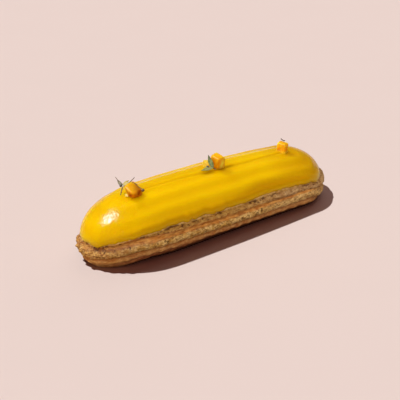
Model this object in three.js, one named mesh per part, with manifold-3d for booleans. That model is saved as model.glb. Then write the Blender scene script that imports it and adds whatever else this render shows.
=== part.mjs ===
// A glazed eclair: a long choux bun with piped ridges, a smooth glaze over its crown,
// and three pieces of candied fruit with small herb sprigs set along the crest.
// Millimetres, +Z up. +X runs from the craggy near end to the blunt far end.
// The origin lies on the floor under the middle of the bun.
import * as THREE from 'three';
import { mergeVertices } from 'three/addons/utils/BufferGeometryUtils.js';
import Module from 'manifold-3d';

// Overall size of the bun with its glaze
const LENGTH = 140;
const HALF_WIDTH = 20.9;
const HALF_WIDTH_GAIN = 0.4; // wider by this at the far end of the spine, narrower at the near end
const HEIGHT = 26.7;
const HEIGHT_FALL = 1.7; // lower by this at the far end of the spine, higher at the near end
const HEIGHT_ARCH = 0.8; // lower by this at both ends of the spine
const LIFT = 1.6; // the bun arches up off the floor by this in the middle, its flat base aside
const LIFT_FADE = 1; // height over which the lift grows from the base
const NEAR_STRETCH = 1.58; // length of the near end cap as a share of its half width
const FAR_STRETCH = 1.1;
const NEAR_TURN = 0.35; // sideways share of a station's direction where the near tip begins
const FAR_TURN = 0.3;

// Cross-section as shares of its height and half width
const WIDEST_HEIGHT = 0.32;
const BASE_SHARE = 0.88; // half width of the flat base at the tips
const NEAR_BASE = 0.07; // more of it kept at the near tip
const UNDERCUT = 0.09; // share lost in the middle of the length
const NEAR_UNDERCUT = { deep: 0.14, x: -44, breadth: 9 }; // hollow under the bun behind its near tip
const BOW = { deep: 0.16, angle: -106, breadth: 26 }; // the near tip's base draws in, round this angle of the plan
const DOME_POWER = 1.88; // superellipse power of the dome

// Glaze
const GLAZE_THICK = 1.2;
const GAP = 0.3; // clearance between pieces that touch
const EDGE_HEIGHT = 13.5; // mean height of the glaze's lower edge
const EDGE_HUMPS = [ // place along X, rise on the front and drop on the back, half breadth
  { x: -33, rise: 1.3, breadth: 6 },
  { x: 4, rise: -0.5, breadth: 9 },
  { x: 46, rise: -0.7, breadth: 9 },
];
const EDGE_SAGS = [ // where the edge hangs lower: angle round the plan from the front, drop, half breadth
  { angle: -43, drop: 1.7, breadth: 14 },
  { angle: -66, drop: 3.3, breadth: 12.5 },
  { angle: -98, drop: 3.1, breadth: 28 },
  { angle: -128, drop: 1.8, breadth: 15 },
  { angle: 25, drop: 1.8, breadth: 12 },
  { angle: 100, drop: 4, breadth: 30 },
  { angle: 148, drop: 1.6, breadth: 16 },
];
const NEAR_INSET = 1.5; // the glaze's edge stops short of the choux by this at the tips
const FAR_INSET = 0.7;
const INSET_TOP = 1.4; // dome level where the insets end
const RIB_DEPTH = 0.4; // soft lengthwise ribs of the glaze
const RIB_PITCH = 0.276; // in dome levels
const RIB_VALLEY = 1.21; // dome level of the lowest valley between ribs
const RIB_START = [1.05, 1.2]; // dome levels over which the ribs rise
const RIB_END = [1.9, 2]; // and those over which they die out
const LIP = [ // rounded lower edge: dome level, and depth as a share of the thickness
  { level: 1.012, depth: 0.15 },
  { level: 1, depth: 0.5 },
  { level: 1.012, depth: 0.9 },
];

// Piped ridges of the choux: height of each above the floor, how far it stands out, and its half breadth
const RIDGES = [
  { height: 13.2, out: 0.4, breadth: 1.4 },
  { height: 10.5, out: -0.9, breadth: 1.1 },
  { height: 7.7, out: 0.5, breadth: 1.6 },
  { height: 5.4, out: -0.8, breadth: 0.7 },
  { height: 3.9, out: 0.5, breadth: 0.8 },
];
const RIDGE_LOSS = 0.3; // share of the ridges that the crags of the near tip swallow
const RIDGE_RUN = [ // place along X, and how much higher than their own heights the ridges run there
  { x: -48, rise: 1.1 },
  { x: -35, rise: -0.1 },
  { x: -20, rise: -1 },
  { x: 4, rise: -1.9 },
  { x: 22, rise: -1.8 },
  { x: 41, rise: -1.6 },
];
const RIDGE_DROP = 2.6; // the ridges run lower by this round the near tip
const FAR_DROP = 3; // and by this round the far tip
const FAR_DROP_TURN = 0.7; // sideways share of a station's direction where that drop is full
const FLOOR_FADE = 1.6; // relief dies out below this height, so that the base stays flat
const CRAG = 0.3; // uneven crust all round
const NEAR_CRAG = 0.6; // rugged crust at the near tip
const CRAG_HEIGHTS = [3, 6.5]; // the near tip's crags grow over these heights
const CRAG_WAVES = [ // each is a sine times a cosine: turns per mm along X, Y and Z, and phase, in radians
  { share: 0.6, sine: [0.92, 0, 1.1, 0.6], cosine: [0, 0.85, -0.6, 0] },
  { share: 0.5, sine: [0.7, 1.5, 0, -0.5], cosine: [-0.4, 0, 1.35, 1.2] },
];
const TUCK = 1.4; // the choux draws in by this under the glaze's lip
const TUCK_LEVELS = [0.74, 0.93];
const NEAR_TUCK = 2.4; // the same at the near tip, where the glaze stands back
const NEAR_TUCK_LEVELS = [0.6, 0.92];
const NUBS = [ // nub and dent of the near tip: how far each stands out, its angle and height, half breadths
  { out: 2.5, angle: -109, turn: 11, height: 8.8, breadth: 1.1 },
  { out: -0.3, angle: -103, turn: 15, height: 5.9, breadth: 1.7 },
];

// Mesh divisions
const STRAIGHT_STEPS = 30;
const NEAR_STEPS = 26;
const FAR_STEPS = 20;
const BASE_SHARES = [0, 0.5];
const BAND_LEVELS = [
  0, 0.03, 0.08, 0.13, 0.18, 0.23, 0.29, 0.35, 0.42, 0.49, 0.55, 0.61, 0.67, 0.74, 0.81, 0.88, 0.93,
];
const LEDGE_LEVEL = 0.98; // the choux steps in here, under the lip of the glaze
const HIDDEN_LEVELS = [1.06, 1.25, 1.45, 1.65, 1.85, 2];
const OUTER_LEVELS = [1.05, 1.13, 1.23, 1.33, 1.43, 1.54, 1.65, 1.76, 1.88, 2];
const INNER_LEVELS = [2, 1.85, 1.65, 1.45, 1.25, 1.05];
const LEVEL_STEP = 0.004; // for slopes of the cross-section
const PLAN_STEP = 0.5; // for slopes of the glaze

// Candied fruit: place in the plan, size along, across and up, turn about the vertical, spread of the foot,
// how sharply the sides meet, and bevels, each a direction and its distance from the middle of the block
const FRUITS = [
  {
    name: 'fruit_near', x: -43.3, y: -3.85, size: [7.4, 6.4, 5.6], turn: 18, flare: 0.1, sharp: 6,
    bevels: [
      { facing: [0.25, -0.34, 0.9], away: 1.8 },
      { facing: [-0.5, -0.5, -0.7], away: 3.2 },
      { facing: [-0.65, 0.55, -0.35], away: 2.96 },
      { facing: [0.7, -0.7, 0], away: 4 },
    ],
  },
  {
    name: 'fruit_middle', x: 4.6, y: -2.4, size: [5.8, 5.4, 6.3], turn: 12, flare: 0, sharp: 9,
    bevels: [
      { facing: [0.75, -0.1, 0.65], away: 3.2 },
      { facing: [-0.7, 0.7, 0.2], away: 4.1 },
      { facing: [-0.45, -0.45, -0.77], away: 3.4 },
    ],
  },
  {
    name: 'fruit_far', x: 45.8, y: -1.9, size: [4.8, 3.9, 4.65], turn: -66, flare: 0.2, sharp: 9,
    bevels: [
      { facing: [0, -0.6, 0.8], away: 2.9 },
      { facing: [0.8, 0.2, 0.55], away: 3.4 },
    ],
  },
];
const FLARE_TOP = 0.3; // share of the height over which a block's foot spreads
const FRUIT_DETAIL = 5;

// Herbs: fold along the midrib, curl as a share of length, wave of the edge
const LEAF = { fold: 0.3, curl: 0.04, wave: 0.09 };
const LEAF_THICK = 0.32;
const LEAF_FOOT = 0.16; // half width at the root as a share of the widest
const LEAF_POINT = 0.75; // share of the half width lost at the tip
const LEAF_STEPS = 8;
const LEAF_HALF_STEPS = 2;
const STEM_SIDES = 7;
const STEM_STEPS = 6;
const BUD_RADIUS = 0.6;
const LEG_RADIUS = 0.3;
const TWIG_RADIUS = 0.25;

const MATERIALS = {
  choux: { color: 0xa97440, roughness: 0.8, metalness: 0 },
  glaze: { color: 0xf0b800, roughness: 0.15, metalness: 0 },
  fruit: { color: 0xf08a00, roughness: 0.25, metalness: 0 },
  herb: { color: 0x76813f, roughness: 0.6, metalness: 0 },
  petal: { color: 0xf2cf2e, roughness: 0.5, metalness: 0 },
  stem: { color: 0x6b4a22, roughness: 0.7, metalness: 0 },
};

const NEAR_HALF_WIDTH = HALF_WIDTH - HALF_WIDTH_GAIN;
const FAR_HALF_WIDTH = HALF_WIDTH + HALF_WIDTH_GAIN;
const NEAR_CAP = NEAR_STRETCH * NEAR_HALF_WIDTH;
const FAR_CAP = FAR_STRETCH * FAR_HALF_WIDTH;
const SPINE_HALF = (LENGTH - NEAR_CAP - FAR_CAP) / 2;
const SPINE_SHIFT = (NEAR_CAP - FAR_CAP) / 2;

const wasm = await Module();
wasm.setup();

const bell = (value) => Math.exp(-value * value);
const mix = (a, b, share) => a + (b - a) * share;
const smooth = (from, to, value) => THREE.MathUtils.smoothstep(value, from, to);

// Half width and height of the cross-section at a place along the spine, from -SPINE_HALF to SPINE_HALF
function sectionAt(along) {
  const share = along / SPINE_HALF;
  return {
    half: HALF_WIDTH + HALF_WIDTH_GAIN * share,
    high: HEIGHT - HEIGHT_FALL * share - HEIGHT_ARCH * share * share,
  };
}

// How much of the middle's arch there is at a place along X: 1 in the middle, 0 at the tips
const archAt = (x) => Math.max(1 - (2 * x / LENGTH) ** 2, 0);

// Stations once round the plan: along the front, round the far end, along the back, round the near end
function makeStations() {
  const stations = [];
  const add = (along, angle, stretch) => {
    const side = new THREE.Vector2(Math.sin(angle), -Math.cos(angle));
    const normal = new THREE.Vector2(side.x, side.y * stretch).normalize();
    const degrees = THREE.MathUtils.radToDeg(angle > Math.PI ? angle - 2 * Math.PI : angle);
    stations.push({ along, side, normal, stretch, degrees, ...sectionAt(along) });
  };
  for (let i = 0; i < STRAIGHT_STEPS; i++) add(mix(-SPINE_HALF, SPINE_HALF, i / STRAIGHT_STEPS), 0, 1);
  for (let i = 0; i < FAR_STEPS; i++) add(SPINE_HALF, Math.PI * i / FAR_STEPS, FAR_STRETCH);
  for (let i = 0; i < STRAIGHT_STEPS; i++) add(mix(SPINE_HALF, -SPINE_HALF, i / STRAIGHT_STEPS), Math.PI, 1);
  for (let i = 0; i < NEAR_STEPS; i++) add(-SPINE_HALF, Math.PI * (1 + i / NEAR_STEPS), NEAR_STRETCH);
  return stations;
}

// How far a station has turned towards each tip, 0 on the long sides and 1 at the tip
const nearness = (station) => smooth(NEAR_TURN, 1, -station.side.x);
const farness = (station) => smooth(FAR_TURN, 1, station.side.x);

// Height of the glaze's lower edge at a station
function edgeHeight(station) {
  let high = EDGE_HEIGHT;
  for (const { x, rise, breadth } of EDGE_HUMPS) {
    high -= rise * station.side.y * bell((station.along + SPINE_SHIFT - x) / breadth);
  }
  for (const sag of EDGE_SAGS) high -= sag.drop * bell((station.degrees - sag.angle) / sag.breadth);
  return high;
}

// Share of the half width that the flat base keeps at a station
function baseShare(station) {
  const { along, half, stretch, side } = station;
  const x = along + SPINE_SHIFT + BASE_SHARE * half * stretch * side.x;
  const { deep, x: middle, breadth } = NEAR_UNDERCUT;
  const bow = BOW.deep * bell((station.degrees - BOW.angle) / BOW.breadth);
  const full = BASE_SHARE + NEAR_BASE * nearness(station) - bow;
  return full - UNDERCUT * archAt(x) - deep * bell((x - middle) / breadth);
}

// Share of the half width, and height before the lift, of the plain skin at a level:
// 0 to 1 climbs the side from the floor to the glaze's edge, 1 to 2 the dome from there to the crest
function skinAt(station, level) {
  const rise = 1 - WIDEST_HEIGHT;
  const edge = edgeHeight(station);
  if (level < 1) {
    const z = edge * Math.max(level, 0);
    const tall = z / station.high;
    if (tall < WIDEST_HEIGHT) {
      const drop = 1 - tall / WIDEST_HEIGHT;
      return { share: mix(baseShare(station), 1, Math.sqrt(1 - drop * drop)), z };
    }
    return { share: (1 - ((tall - WIDEST_HEIGHT) / rise) ** DOME_POWER) ** (1 / DOME_POWER), z };
  }
  const start = Math.asin(((edge / station.high - WIDEST_HEIGHT) / rise) ** (DOME_POWER / 2));
  const angle = mix(start, Math.PI / 2, Math.min(level - 1, 1));
  const share = Math.max(Math.cos(angle), 0) ** (2 / DOME_POWER);
  return { share, z: station.high * (WIDEST_HEIGHT + rise * Math.sin(angle) ** (2 / DOME_POWER)) };
}

// Point of the bun at a station and level, pushed out along the skin's normal
function pointAt(station, level, push) {
  const here = skinAt(station, level);
  const below = skinAt(station, level - LEVEL_STEP);
  const above = skinAt(station, level + LEVEL_STEP);
  const out = new THREE.Vector2(above.z - below.z, (below.share - above.share) * station.half).normalize();
  if (level >= 2) out.set(0, 1);
  const reach = station.half * here.share;
  const x = station.along + SPINE_SHIFT + reach * station.stretch * station.side.x
    + push * out.x * station.normal.x;
  const y = reach * station.side.y + push * out.x * station.normal.y;
  const lift = LIFT * archAt(x) * smooth(0, LIFT_FADE, here.z);
  return new THREE.Vector3(x, y, here.z + push * out.y + lift);
}

// Smooth uneven field over space, about -1 to 1
function cragField(p) {
  const phase = ([x, y, z, start]) => x * p.x + y * p.y + z * p.z + start;
  const height = ({ share, sine, cosine }) => share * Math.sin(phase(sine)) * Math.cos(phase(cosine));
  return CRAG_WAVES.reduce((sum, wave) => sum + height(wave), 0);
}

// How much higher than their own heights the ridges run at a place along X
function ridgeRise(x) {
  const next = RIDGE_RUN.findIndex((place) => place.x > x);
  if (next === 0) return RIDGE_RUN[0].rise;
  if (next < 0) return RIDGE_RUN[RIDGE_RUN.length - 1].rise;
  const a = RIDGE_RUN[next - 1];
  const b = RIDGE_RUN[next];
  return mix(a.rise, b.rise, (x - a.x) / (b.x - a.x));
}

// How far the choux stands out from the plain skin below the glaze
function chouxPush(station, level) {
  const plain = pointAt(station, level, 0);
  const { z } = skinAt(station, level);
  const near = nearness(station);
  const farDrop = FAR_DROP * smooth(0, FAR_DROP_TURN, station.side.x);
  const drift = ridgeRise(plain.x) - RIDGE_DROP * near - farDrop;
  let push = 0;
  for (const ridge of RIDGES) {
    push += ridge.out * bell((z - ridge.height - drift) / ridge.breadth) * (1 - RIDGE_LOSS * near);
  }
  push += mix(CRAG, NEAR_CRAG, near * smooth(...CRAG_HEIGHTS, z)) * cragField(plain);
  for (const { out, angle, turn, height, breadth } of NUBS) {
    push += out * bell((station.degrees - angle) / turn) * bell((z - height) / breadth);
  }
  push -= TUCK * (1 - near) * (1 - farness(station)) * smooth(...TUCK_LEVELS, level);
  push -= NEAR_TUCK * near * smooth(...NEAR_TUCK_LEVELS, level);
  return push * smooth(0, FLOOR_FADE, z);
}

// How far the glaze's outer face stands out from the plain skin: ribs along the sides, and the ends
function glazePush(station, level) {
  const near = nearness(station);
  const far = farness(station);
  const ribs = RIB_DEPTH * (0.5 + 0.5 * Math.cos(2 * Math.PI * (level - RIB_VALLEY) / RIB_PITCH));
  const ribbed = (1 - near) * (1 - far) * smooth(...RIB_START, level) * (1 - smooth(...RIB_END, level));
  const ends = NEAR_INSET * near + FAR_INSET * far;
  return -ribs * ribbed - ends * (1 - smooth(1, INSET_TOP, level));
}

// A closed solid from rows of points that run round the bun, its first and last rows lying on the spine
function solidFromRows(rows) {
  const count = rows[0].length;
  const index = [];
  for (let r = 0; r + 1 < rows.length; r++) {
    for (let i = 0; i < count; i++) {
      const a = r * count + i;
      const b = r * count + (i + 1) % count;
      index.push(a, b, b + count, a, b + count, a + count);
    }
  }
  return tidied(surface(rows.flat(), index));
}

// A surface from its points and the indices of its triangles
function surface(points, index) {
  const geometry = new THREE.BufferGeometry().setFromPoints(points);
  geometry.setIndex(index);
  return geometry;
}

// The same surface with shared corners merged and collapsed triangles left out
function tidied(source) {
  const bare = source.clone();
  bare.deleteAttribute('normal');
  bare.deleteAttribute('uv');
  const merged = mergeVertices(bare, 1e-3);
  const kept = [];
  for (let i = 0; i < merged.index.count; i += 3) {
    const [a, b, c] = [merged.index.getX(i), merged.index.getX(i + 1), merged.index.getX(i + 2)];
    if (a !== b && b !== c && c !== a) kept.push(a, b, c);
  }
  merged.setIndex(kept);
  return merged;
}

function meshOf(name, geometry, finish) {
  const flat = geometry.toNonIndexed();
  flat.computeVertexNormals();
  const mesh = new THREE.Mesh(flat, new THREE.MeshStandardMaterial(finish));
  mesh.name = name;
  return mesh;
}

// Choux: flat base, ridged side, a ledge under the glaze's lip, and the dome that the glaze covers
function makeChoux(stations) {
  const base = (share) => stations.map((station) => {
    const rim = pointAt(station, 0, 0);
    const x = station.along + SPINE_SHIFT;
    return new THREE.Vector3(mix(x, rim.x, share), mix(0, rim.y, share), 0);
  });
  const band = (level) => stations.map((s) => pointAt(s, level, chouxPush(s, level)));
  const hidden = (level) => stations.map((s) =>
    pointAt(s, level, glazePush(s, Math.max(level, 1)) - GLAZE_THICK - GAP));
  const rows = [
    ...BASE_SHARES.map(base),
    ...BAND_LEVELS.map(band),
    ...[LEDGE_LEVEL, ...HIDDEN_LEVELS].map(hidden),
  ];
  return meshOf('choux', solidFromRows(rows), MATERIALS.choux);
}

// Glaze: the inner face from the crest down, a rounded lip, and the outer face up to the crest
function makeGlaze(stations) {
  const row = (level, depth) => stations.map((s) => pointAt(s, level, glazePush(s, level) - depth));
  const rows = [
    ...INNER_LEVELS.map((level) => row(level, GLAZE_THICK)),
    ...LIP.toReversed().map(({ level, depth }) => row(level, depth * GLAZE_THICK)),
    ...OUTER_LEVELS.map((level) => row(level, 0)),
  ];
  return meshOf('glaze', solidFromRows(rows), MATERIALS.glaze);
}

// Height of the glaze's plain outer face over a point of the plan
function glazeTop(x, y) {
  const along = THREE.MathUtils.clamp(x - SPINE_SHIFT, -SPINE_HALF, SPINE_HALF);
  const past = x - SPINE_SHIFT - along;
  const { half, high } = sectionAt(along);
  const stretch = past < 0 ? NEAR_STRETCH : FAR_STRETCH;
  const share = Math.min(Math.hypot(past / stretch, y) / half, 1);
  const dome = (1 - share ** DOME_POWER) ** (1 / DOME_POWER);
  return high * mix(WIDEST_HEIGHT, 1, dome) + LIFT * archAt(x);
}

// Upward normal of the glaze's plain outer face over a point of the plan
function glazeNormal(x, y) {
  const slopeX = (glazeTop(x + PLAN_STEP, y) - glazeTop(x - PLAN_STEP, y)) / (2 * PLAN_STEP);
  const slopeY = (glazeTop(x, y + PLAN_STEP) - glazeTop(x, y - PLAN_STEP)) / (2 * PLAN_STEP);
  return new THREE.Vector3(-slopeX, -slopeY, 1).normalize();
}

// Candied fruit: a block of six walls and some bevels that blend into one another, its foot spread a little
function makeFruit({ name, x, y, size, turn, flare, sharp, bevels }) {
  const walls = bevels.map(({ facing, away }) => ({ facing: new THREE.Vector3(...facing).normalize(), away }));
  for (const axis of [0, 1, 2]) {
    for (const sign of [-1, 1]) {
      walls.push({ facing: new THREE.Vector3().setComponent(axis, sign), away: size[axis] / 2 });
    }
  }
  const geometry = tidied(new THREE.IcosahedronGeometry(1, FRUIT_DETAIL));
  const place = geometry.attributes.position;
  for (let i = 0; i < place.count; i++) {
    const p = new THREE.Vector3().fromBufferAttribute(place, i).normalize();
    let reach = 0;
    for (const { facing, away } of walls) reach += Math.max(p.dot(facing) / away, 0) ** sharp;
    p.multiplyScalar(reach ** (-1 / sharp));
    const foot = 1 + flare * (1 - smooth(0, FLARE_TOP, p.z / size[2] + 0.5));
    place.setXYZ(i, p.x * foot, p.y * foot, p.z);
  }
  const mesh = meshOf(name, geometry, MATERIALS.fruit);
  const upright = new THREE.Quaternion().setFromUnitVectors(new THREE.Vector3(0, 0, 1), glazeNormal(x, y));
  const turned = new THREE.Euler(0, 0, THREE.MathUtils.degToRad(turn));
  mesh.quaternion.copy(upright).multiply(new THREE.Quaternion().setFromEuler(turned));
  mesh.position.set(x, y, 0);
  mesh.updateMatrixWorld();
  let lift = 0;
  for (let i = 0; i < place.count; i++) {
    const p = new THREE.Vector3().fromBufferAttribute(place, i).applyMatrix4(mesh.matrixWorld);
    lift = Math.max(lift, glazeTop(p.x, p.y) - p.z);
  }
  mesh.position.z = lift + GAP;
  mesh.updateMatrixWorld();
  return mesh;
}

// Leaf: a thin wavy blade from its root to its tip, folded a little along its midrib
function makeLeaf({ root, tip, face, width, fold, curl, wave }) {
  const length = root.distanceTo(tip);
  const forward = tip.clone().sub(root).normalize();
  const across = new THREE.Vector3(...face).cross(forward).normalize();
  const up = forward.clone().cross(across);
  const point = (i, j, side) => {
    const t = i / LEAF_STEPS;
    const w = j / LEAF_HALF_STEPS;
    const belly = LEAF_FOOT + (1 - LEAF_FOOT) * Math.sin(Math.PI * t ** 0.85) ** 0.8;
    const half = width / 2 * belly * (1 - LEAF_POINT * t ** 6);
    const lift = fold * half * Math.abs(w) + curl * length * 4 * t * (1 - t)
      + wave * Math.sin(2 * Math.PI * t + 2 * w) + side * LEAF_THICK / 2;
    return root.clone().addScaledVector(forward, length * t).addScaledVector(across, half * w)
      .addScaledVector(up, lift);
  };
  const span = 2 * LEAF_HALF_STEPS + 1;
  const points = [];
  for (const side of [-1, 1]) {
    for (let i = 0; i <= LEAF_STEPS; i++) {
      for (let j = -LEAF_HALF_STEPS; j <= LEAF_HALF_STEPS; j++) points.push(point(i, j, side));
    }
  }
  const at = (i, j, side) => (side > 0 ? (LEAF_STEPS + 1) * span : 0) + i * span + j;
  const index = [];
  const quad = (a, b, c, d) => index.push(a, b, c, a, c, d);
  for (let i = 0; i < LEAF_STEPS; i++) {
    for (let j = 0; j + 1 < span; j++) {
      quad(at(i, j, 1), at(i + 1, j, 1), at(i + 1, j + 1, 1), at(i, j + 1, 1));
      quad(at(i, j + 1, -1), at(i + 1, j + 1, -1), at(i + 1, j, -1), at(i, j, -1));
    }
    quad(at(i, 0, -1), at(i + 1, 0, -1), at(i + 1, 0, 1), at(i, 0, 1));
    quad(at(i, span - 1, 1), at(i + 1, span - 1, 1), at(i + 1, span - 1, -1), at(i, span - 1, -1));
  }
  for (let j = 0; j + 1 < span; j++) {
    quad(at(0, j, 1), at(0, j + 1, 1), at(0, j + 1, -1), at(0, j, -1));
    quad(at(LEAF_STEPS, j + 1, 1), at(LEAF_STEPS, j, 1), at(LEAF_STEPS, j, -1), at(LEAF_STEPS, j + 1, -1));
  }
  return surface(points, index);
}

// Stem: a thin round rod along a smooth curve
function makeStem(path, radius) {
  const rim = [];
  for (let i = 0; i < STEM_SIDES; i++) {
    const angle = 2 * Math.PI * i / STEM_SIDES;
    rim.push(new THREE.Vector2(radius * Math.cos(angle), radius * Math.sin(angle)));
  }
  const extrudePath = new THREE.CatmullRomCurve3(path);
  const options = { steps: STEM_STEPS, extrudePath, bevelEnabled: false };
  return tidied(new THREE.ExtrudeGeometry(new THREE.Shape(rim), options));
}

// Several closed surfaces joined into one solid
function joined(geometries) {
  const solids = geometries.map((geometry) => new wasm.Manifold(new wasm.Mesh({
    numProp: 3,
    vertProperties: new Float32Array(geometry.attributes.position.array),
    triVerts: new Uint32Array(geometry.index.array),
  })));
  const mesh = solids.reduce((sum, solid) => sum.add(solid)).getMesh();
  const geometry = new THREE.BufferGeometry();
  geometry.setAttribute('position', new THREE.Float32BufferAttribute(mesh.vertProperties, 3));
  geometry.setIndex([...mesh.triVerts]);
  return tidied(geometry);
}

// A point over the glaze: place in the plan and clear height above the glaze's face
const over = (x, y, height) => new THREE.Vector3(x, y, glazeTop(x, y) + height);

// Sprig by the near fruit: a foot on the glaze, a hub behind the fruit with a bud, two leaves and a bare twig
function makeNearSprig() {
  const hub = over(-45.3, 1.9, 2.6);
  const knee = hub.clone().add(new THREE.Vector3(0.3, 0.3, 0.2));
  const pale = { ...LEAF, root: hub, tip: over(-46.9, 5.5, 7.4), face: [-0.7, -0.6, 0.4], width: 1.9 };
  const lime = { ...LEAF, root: hub, tip: over(-42.2, 1.7, 4.4), face: [-0.4, -0.5, 0.8], width: 1.7 };
  const leg = [over(-48.3, -0.8, 0.7), over(-46.9, 0.5, 1.8), knee];
  const twig = [over(-43.5, 1.9, 3.6), over(-41, 2.2, 3.3), over(-38.6, 2.1, 4.5)];
  const bud = new THREE.IcosahedronGeometry(BUD_RADIUS, 1).translate(hub.x - 0.5, hub.y - 0.3, hub.z + 0.2);
  const pieces = [
    makeLeaf(pale),
    makeLeaf(lime),
    makeStem(leg, LEG_RADIUS),
    makeStem(twig, TWIG_RADIUS),
    tidied(bud),
  ];
  return meshOf('sprig_near', joined(pieces), MATERIALS.herb);
}

// Sprig by the middle fruit: one leaf stands against the fruit and one lies on the glaze, joined at the root
function makeMiddleSprig() {
  const root = over(0.8, -4, 1);
  const green = { ...LEAF, root, tip: over(0, -1.3, 6.4), face: [-0.8, -0.5, 0.3], width: 2.3 };
  const lime = { ...LEAF, root, tip: over(-6, -3.6, 0.8), face: [-0.2, -0.5, 0.8], width: 1.9 };
  const heel = [over(1.6, -5.1, 0.5), over(1.1, -4.5, 0.7), over(0.5, -3.8, 1.1)];
  const pieces = [makeLeaf(green), makeLeaf(lime), makeStem(heel, LEG_RADIUS)];
  return meshOf('sprig_middle', joined(pieces), MATERIALS.herb);
}

// Small yellow petal that stands behind the middle sprig
function makePetal() {
  const root = over(0.3, -0.3, 0.6);
  const petal = { ...LEAF, root, tip: over(-1.3, 0.9, 3.2), face: [-0.5, -0.8, 0.2], width: 3.4 };
  return meshOf('petal_middle', makeLeaf(petal), MATERIALS.petal);
}

// Short twig that lies across the top of the far fruit, its back end bent up
function makeFarTwig(fruit) {
  fruit.geometry.computeBoundingBox();
  const bed = fruit.geometry.boundingBox.max.z + TWIG_RADIUS + GAP;
  const path = [
    new THREE.Vector3(0.4, -1, bed),
    new THREE.Vector3(-0.4, 0.1, bed),
    new THREE.Vector3(-1.3, 1, bed + 0.8),
  ];
  for (const point of path) point.applyMatrix4(fruit.matrixWorld);
  return meshOf('twig_far', makeStem(path, TWIG_RADIUS), MATERIALS.stem);
}

const stations = makeStations();
const fruits = FRUITS.map(makeFruit);
const eclair = new THREE.Group();
eclair.add(makeChoux(stations), makeGlaze(stations), ...fruits);
eclair.add(makeNearSprig(), makeMiddleSprig(), makePetal(), makeFarTwig(fruits[2]));

export default eclair;
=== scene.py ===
import itertools
import math
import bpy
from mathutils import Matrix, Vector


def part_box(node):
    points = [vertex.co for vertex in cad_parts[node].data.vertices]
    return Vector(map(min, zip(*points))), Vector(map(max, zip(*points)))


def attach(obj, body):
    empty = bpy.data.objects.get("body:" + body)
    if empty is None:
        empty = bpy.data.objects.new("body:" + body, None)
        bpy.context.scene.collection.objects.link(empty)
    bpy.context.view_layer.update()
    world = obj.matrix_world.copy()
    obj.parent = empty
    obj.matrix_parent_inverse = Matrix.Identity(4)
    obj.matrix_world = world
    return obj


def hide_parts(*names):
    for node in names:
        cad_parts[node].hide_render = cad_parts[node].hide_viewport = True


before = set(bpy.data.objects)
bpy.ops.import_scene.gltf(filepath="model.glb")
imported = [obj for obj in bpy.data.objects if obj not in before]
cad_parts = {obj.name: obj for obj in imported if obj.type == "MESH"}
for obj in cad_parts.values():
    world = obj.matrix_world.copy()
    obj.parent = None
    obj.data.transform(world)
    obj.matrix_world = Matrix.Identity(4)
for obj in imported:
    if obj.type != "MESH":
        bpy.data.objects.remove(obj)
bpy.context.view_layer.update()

from types import SimpleNamespace

import bmesh
import bpy
import numpy as np
from mathutils import Vector

# A glazed eclair on a pale floor. Sizes are in millimetres until a mesh is made, in the frame of the solids:
# +X runs from the craggy near end to the blunt far end, +Y to the back and +Z up from the floor.
MM = 0.001

# Bun
LENGTH = 140
HALF_WIDTH = 20.9
HALF_WIDTH_GAIN = 0.4
HEIGHT = 26.7
HEIGHT_FALL = 1.7
HEIGHT_ARCH = 0.8
LIFT = 1.6
LIFT_FADE = 1
NEAR_STRETCH = 1.58
FAR_STRETCH = 1.1
NEAR_TURN = 0.35
FAR_TURN = 0.3
WIDEST_HEIGHT = 0.32
BASE_SHARE = 0.88
NEAR_BASE = 0.07  # more of the half width kept at the near tip
UNDERCUT = 0.09
NEAR_UNDERCUT = {"deep": 0.14, "x": -44, "breadth": 9}
BOW = {"deep": 0.16, "angle": -106, "breadth": 26}  # the near tip's base draws in, round this plan angle
DOME_POWER = 1.88
LEVEL_STEP = 0.004

# Glaze
GLAZE_THICK = 1.2
GAP = 0.3
EDGE_HEIGHT = 13.5
EDGE_HUMPS = [  # place along X, rise on the front and drop on the back, half breadth
    (-33, 1.3, 6), (4, -0.5, 9), (46, -0.7, 9),
]
EDGE_SAGS = [  # angle round the plan from the front in degrees, drop, half breadth in degrees
    (-43, 1.7, 14), (-66, 3.3, 12.5), (-98, 3.1, 28), (-128, 1.8, 15), (25, 1.8, 12), (100, 4.0, 30),
    (148, 1.6, 16),
]
EDGE_NOISE = [  # slow unevenness and ragged breaks of the edge: amount, size, seed, octaves
    (0.35, 7, 61, 3),
    (0.3, 2.2, 65, 2),
]
EDGE_CLEAR = 0.004  # share of the height that the edge keeps above the widest place
NEAR_INSET = 1.5
FAR_INSET = 0.7
INSET_TOP = 1.4
RIB_DEPTH = 0.4
RIB_PITCH = 0.276
RIB_VALLEY = 1.21  # dome level of the lowest valley between ribs
RIB_START = (1.05, 1.2)
RIB_END = (1.9, 2)
GLAZE_SWELL = 0.12  # slow swells of the glaze
SWELL_NOISE = (17, 71, 3)  # size, seed, octaves
SWELL_LEVELS = (1.05, 1.3)
RIPPLED = (-57, 14)  # place along X and half breadth of the glaze that fine ripples cover
CREASE_DEPTH = 0.35  # crease from fruit to fruit
CREASE_BREADTH = 0.55
CREASE_Y = (-2.4, -4.8, -3.4)  # where it lies at the near fruit, past the middle one and at the far one
CREASE_X = (-37, 14, 42)
CREASE_START = (-42, -36)
CREASE_END = (44, 50)
CREASE_LEVELS = (1.6, 1.8)
LIP = [  # level, and depth as a share of the thickness
    (1.1, 0.03), (1.07, 0.1), (1.045, 0.22), (1.025, 0.4), (1.01, 0.6), (1, 0.8), (1.008, 0.93),
    (1.03, 1),
]
OUTER_DEPTH = 0.1  # shallower rows of points form the outer face

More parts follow.
